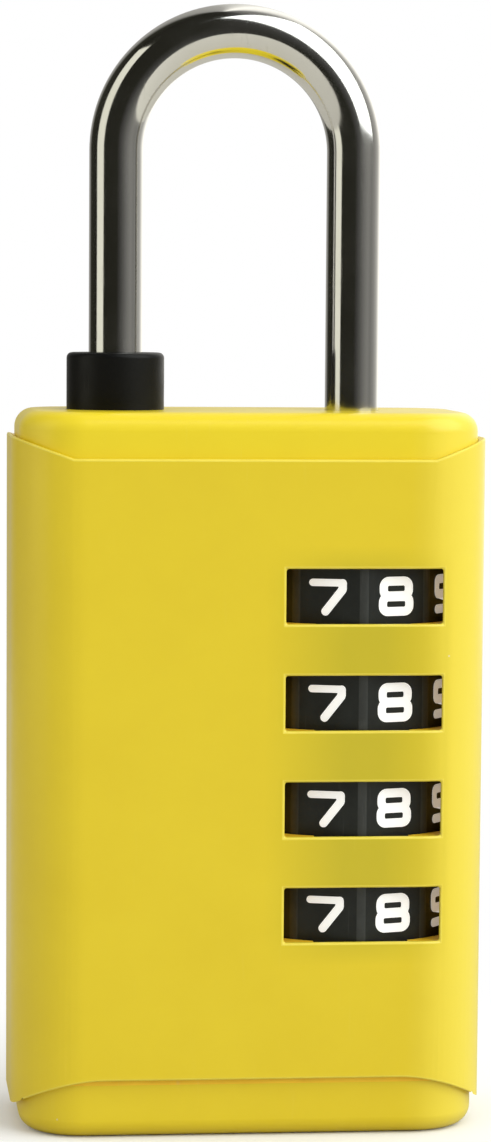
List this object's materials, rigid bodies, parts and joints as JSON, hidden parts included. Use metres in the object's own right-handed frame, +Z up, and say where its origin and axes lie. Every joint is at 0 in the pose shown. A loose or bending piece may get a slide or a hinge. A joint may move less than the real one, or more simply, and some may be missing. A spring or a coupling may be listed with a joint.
{
  "type": "luggage combination padlock",
  "caption": "Slim luggage padlock: painted sleeve over a two-part frame, digit dials behind front windows, chromed shackle with a plastic collar on its free leg.",
  "frame": {"origin": "centre of the flat underside of the body, where the padlock stands", "axes": "+X along the body's width towards the captive shackle leg and the dials, +Y from the windowed front to the back, +Z up towards the shackle"},
  "size_m": [0.03, 0.0152, 0.0711],
  "materials": {
    "yellow_paint": "satin yellow paint",
    "frame_paint": "yellow paint on die-cast zinc",
    "shackle_chrome": "polished chrome plate",
    "dial_plastic": "black moulded plastic",
    "digit_ink": "white printed digits",
    "collar_plastic": "black moulded plastic",
    "clutch_brass": "turned brass",
    "spring_steel": "plain spring steel"
  },
  "bodies": {
    "case": {"outer_sleeve": "yellow_paint", "front_frame": "frame_paint", "rear_frame": "frame_paint", "top_cap": "yellow_paint", "bottom_cap": "yellow_paint", "top_cap_pins": "spring_steel", "bottom_cap_pins": "spring_steel", "toe_collar": "collar_plastic", "detent_spring": "spring_steel", "lift_spring": "spring_steel", "reset_spring": "spring_steel"},
    "shackle": {"shackle": "shackle_chrome", "lift_washer": "spring_steel"},
    "dial_1": {"dial_1": "dial_plastic"},
    "dial_2": {"dial_2": "dial_plastic"},
    "dial_3": {"dial_3": "dial_plastic"},
    "dial_4": {"dial_4": "dial_plastic"},
    "clutch_1": {"clutch_1": "clutch_brass"},
    "clutch_2": {"clutch_2": "clutch_brass"},
    "clutch_3": {"clutch_3": "clutch_brass"},
    "clutch_4": {"clutch_4": "clutch_brass"},
    "thrust_washer": {"thrust_washer": "spring_steel"}
  },
  "joints": [
    {"name": "shackle_lift", "type": "slide", "parent": "case", "child": "shackle", "axis": [0, 0, 1], "range_m": [0, 0.00668], "deforming": ["lift_spring"]},
    {"name": "dial_1_turn", "type": "hinge", "parent": "case", "child": "dial_1", "pos_m": [0.00688, 0, 0.03417], "axis": [0, 0, 1], "continuous": true},
    {"name": "dial_2_turn", "type": "hinge", "parent": "case", "child": "dial_2", "pos_m": [0.00688, 0, 0.02749], "axis": [0, 0, 1], "continuous": true},
    {"name": "dial_3_turn", "type": "hinge", "parent": "case", "child": "dial_3", "pos_m": [0.00688, 0, 0.02081], "axis": [0, 0, 1], "continuous": true},
    {"name": "dial_4_turn", "type": "hinge", "parent": "case", "child": "dial_4", "pos_m": [0.00688, 0, 0.01413], "axis": [0, 0, 1], "continuous": true},
    {"name": "clutch_1_reset", "type": "slide", "parent": "dial_1", "child": "clutch_1", "axis": [0, 0, -1], "range_m": [0, 0.0012], "stiffness_N_per_m": 100, "springref_m": -0.004, "deforming": ["reset_spring"]},
    {"name": "clutch_2_reset", "type": "slide", "parent": "dial_2", "child": "clutch_2", "axis": [0, 0, -1], "range_m": [0, 0.0012], "stiffness_N_per_m": 100, "springref_m": -0.004},
    {"name": "clutch_3_reset", "type": "slide", "parent": "dial_3", "child": "clutch_3", "axis": [0, 0, -1], "range_m": [0, 0.0012], "stiffness_N_per_m": 100, "springref_m": -0.004},
    {"name": "clutch_4_reset", "type": "slide", "parent": "dial_4", "child": "clutch_4", "axis": [0, 0, -1], "range_m": [0, 0.0012], "stiffness_N_per_m": 100, "springref_m": -0.004},
    {"name": "thrust_washer_reset", "type": "slide", "parent": "case", "child": "thrust_washer", "axis": [0, 0, -1], "range_m": [0, 0.0012], "stiffness_N_per_m": 100, "springref_m": -0.004}
  ],
  "couplings": [
    {"joint": "clutch_2_reset", "follows": "clutch_1_reset", "ratio": 1},
    {"joint": "clutch_3_reset", "follows": "clutch_1_reset", "ratio": 1},
    {"joint": "clutch_4_reset", "follows": "clutch_1_reset", "ratio": 1},
    {"joint": "thrust_washer_reset", "follows": "clutch_1_reset", "ratio": 1}
  ]
}
